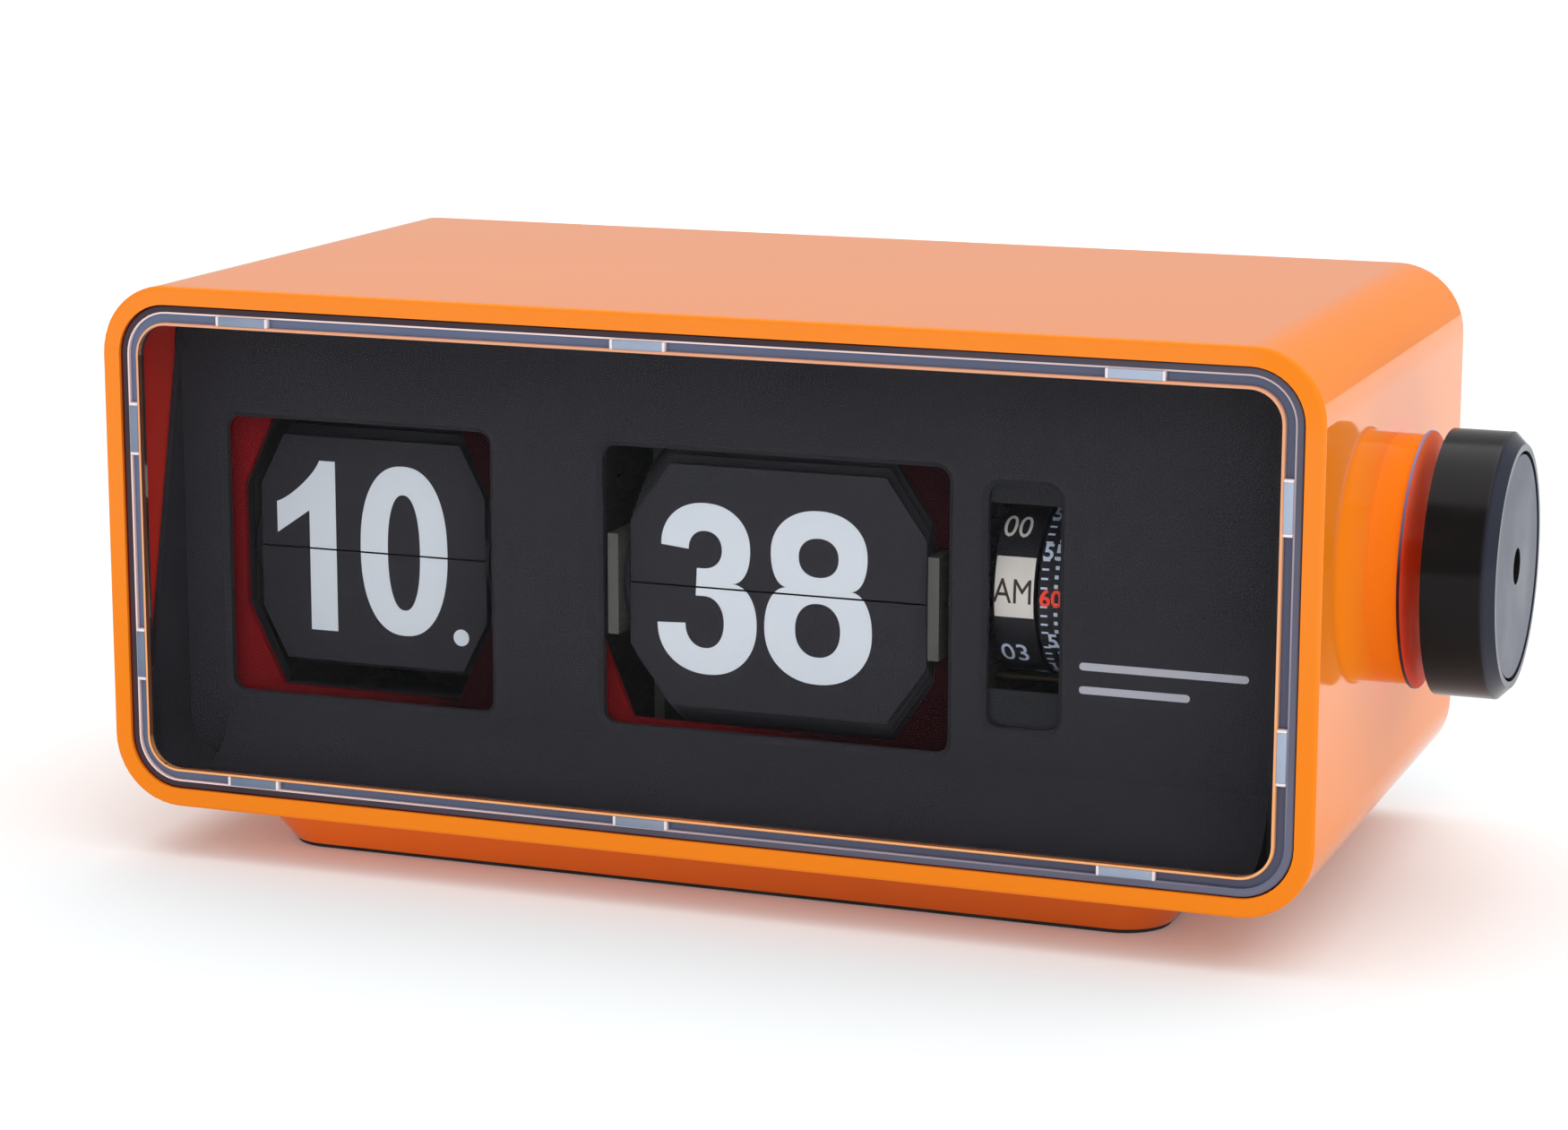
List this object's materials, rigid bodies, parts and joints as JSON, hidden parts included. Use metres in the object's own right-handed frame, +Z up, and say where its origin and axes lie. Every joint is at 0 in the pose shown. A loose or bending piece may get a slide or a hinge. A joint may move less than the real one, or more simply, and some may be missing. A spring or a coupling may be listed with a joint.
{
  "type": "flip number clock",
  "caption": "Retro flip number clock with glossy rounded case, clear front lens, black windowed panel, falling number leaves, alarm drum and side dial knob",
  "frame": {"origin": "on the underside of the pad that the clock stands on, halfway across the case and halfway back", "axes": "+Z up, -Y out of the front where the numbers are, +X towards the side with the large knob"},
  "size_m": [0.2195, 0.1039, 0.0943],
  "materials": {
    "case_orange": "glossy orange",
    "base_orange": "orange",
    "clear": "clear moulded plastic",
    "panel_black": "satin black",
    "leaf_black": "satin black",
    "surround_red": "orange in shade",
    "steel": "zinc plated",
    "brass_part": "plain",
    "white_plastic": "natural acetal",
    "rubber_black": "matt",
    "knob_black": "glossy black",
    "face_grey": "grey",
    "board_green": "board",
    "motor_metal": "can",
    "copper": "enamelled wire",
    "iron": "laminated",
    "paper": "pulp cone"
  },
  "bodies": {
    "case": {"case_sleeve": "case_orange", "pedestal_base": "base_orange", "base_pad": "rubber_black", "base_screws": "steel", "front_lens": "clear", "front_panel": "panel_black", "alarm_window_mask": "panel_black", "display_surround": "surround_red", "hour_light_baffle": "panel_black", "rear_cover": "panel_black", "rear_screws": "steel", "cord_gland": "rubber_black", "movement_tray": "panel_black", "hour_end_plate": "steel", "centre_plate": "steel", "minute_plates": "steel", "alarm_bridge_plate": "steel", "motor_plate": "steel", "frame_posts": "steel", "minute_lower_leaf": "leaf_black", "minute_leaves": "leaf_black", "hour_lower_leaf": "leaf_black", "hour_leaves": "leaf_black", "gear_studs": "steel", "synchronous_motor": "motor_metal", "alarm_switch": "knob_black", "lever_bracket": "steel", "circuit_board": "board_green", "tuning_capacitor": "motor_metal", "board_capacitors": "knob_black", "aerial_rod": "iron", "volume_control": "motor_metal", "function_switch": "knob_black", "transformer_core": "iron", "transformer_coil": "copper", "speaker_basket": "iron", "speaker_cone": "paper", "dial_disc": "clear"},
    "minute_drive": {"minute_arbor": "steel", "minute_drum": "panel_black", "minute_wheel": "brass_part", "time_set_gear": "white_plastic"},
    "hour_drive": {"hour_drum": "white_plastic"},
    "motion_gear": {"motion_idler": "white_plastic"},
    "reduction": {"reduction_wheel": "brass_part"},
    "seconds": {"seconds_wheel": "panel_black"},
    "time_idler": {"time_set_idler": "white_plastic"},
    "time_setter": {"time_set_wheel": "knob_black"},
    "alarm_dial": {"alarm_drum": "panel_black"},
    "alarm_idler": {"alarm_idler": "white_plastic"},
    "alarm_setter": {"alarm_set_wheel": "knob_black"},
    "minute_leaf": {"minute_top_leaf": "leaf_black"},
    "hour_leaf": {"hour_top_leaf": "leaf_black"},
    "alarm_arm": {"alarm_lever": "steel"},
    "tuner": {"tuning_shaft": "steel", "knob_ring": "knob_black", "knob_face_disc": "face_grey"},
    "volume": {"volume_wheel": "knob_black"},
    "function": {"function_slider": "white_plastic"}
  },
  "joints": [
    {"name": "minute_turn", "type": "hinge", "parent": "case", "child": "minute_drive", "pos_m": [0.0075, -0.017, 0.0473], "axis": [1, 0, 0], "continuous": true},
    {"name": "hour_turn", "type": "hinge", "parent": "case", "child": "hour_drive", "pos_m": [-0.06645, -0.017, 0.0473], "axis": [1, 0, 0], "continuous": true},
    {"name": "motion_turn", "type": "hinge", "parent": "case", "child": "motion_gear", "pos_m": [-0.036, -0.0095, 0.06029], "axis": [1, 0, 0], "continuous": true},
    {"name": "reduction_turn", "type": "hinge", "parent": "case", "child": "reduction", "pos_m": [0.047, -0.01498, 0.03385], "axis": [1, 0, 0], "continuous": true},
    {"name": "seconds_turn", "type": "hinge", "parent": "case", "child": "seconds", "pos_m": [0.054, -0.0152, 0.0496], "axis": [1, 0, 0], "continuous": true},
    {"name": "time_idler_turn", "type": "hinge", "parent": "case", "child": "time_idler", "pos_m": [-0.0318, 0.01399, 0.0464], "axis": [1, 0, 0], "continuous": true},
    {"name": "time_set_turn", "type": "hinge", "parent": "case", "child": "time_setter", "pos_m": [-0.034, 0.0404, 0.052], "axis": [1, 0, 0], "continuous": true},
    {"name": "alarm_turn", "type": "hinge", "parent": "case", "child": "alarm_dial", "pos_m": [0.047, -0.0152, 0.0496], "axis": [1, 0, 0], "continuous": true},
    {"name": "alarm_idler_turn", "type": "hinge", "parent": "case", "child": "alarm_idler", "pos_m": [0.0416, 0.01474, 0.04778], "axis": [1, 0, 0], "continuous": true},
    {"name": "alarm_set_turn", "type": "hinge", "parent": "case", "child": "alarm_setter", "pos_m": [0.043, 0.0404, 0.052], "axis": [1, 0, 0], "continuous": true},
    {"name": "minute_leaf_fall", "type": "hinge", "parent": "case", "child": "minute_leaf", "pos_m": [0.0075, -0.0288, 0.0473], "axis": [1, 0, 0], "range_deg": [0, 178]},
    {"name": "hour_leaf_fall", "type": "hinge", "parent": "case", "child": "hour_leaf", "pos_m": [-0.06645, -0.0228, 0.0473], "axis": [1, 0, 0], "range_deg": [0, 178]},
    {"name": "alarm_arm_drop", "type": "hinge", "parent": "case", "child": "alarm_arm", "pos_m": [0.046, 0.0135, 0.0707], "axis": [1, 0, 0], "range_deg": [0, 6]},
    {"name": "tuner_turn", "type": "hinge", "parent": "case", "child": "tuner", "pos_m": [0.11, -0.001, 0.0546], "axis": [1, 0, 0], "range_deg": [-135, 135]},
    {"name": "volume_turn", "type": "hinge", "parent": "case", "child": "volume", "pos_m": [0.08, 0.041, 0.03], "axis": [1, 0, 0], "range_deg": [0, 270]},
    {"name": "function_slide", "type": "slide", "parent": "case", "child": "function", "axis": [0, 0, 1], "range_m": [0, 0.008]}
  ],
  "couplings": [
    {"joint": "hour_turn", "follows": "minute_turn", "ratio": 0.041667},
    {"joint": "motion_turn", "follows": "minute_turn", "ratio": -0.16667},
    {"joint": "reduction_turn", "follows": "minute_turn", "ratio": -7.5},
    {"joint": "seconds_turn", "follows": "minute_turn", "ratio": 60},
    {"joint": "time_idler_turn", "follows": "minute_turn", "ratio": -0.63158},
    {"joint": "time_set_turn", "follows": "minute_turn", "ratio": 1.5},
    {"joint": "alarm_idler_turn", "follows": "alarm_turn", "ratio": -0.66667},
    {"joint": "alarm_set_turn", "follows": "alarm_turn", "ratio": 1.5}
  ]
}
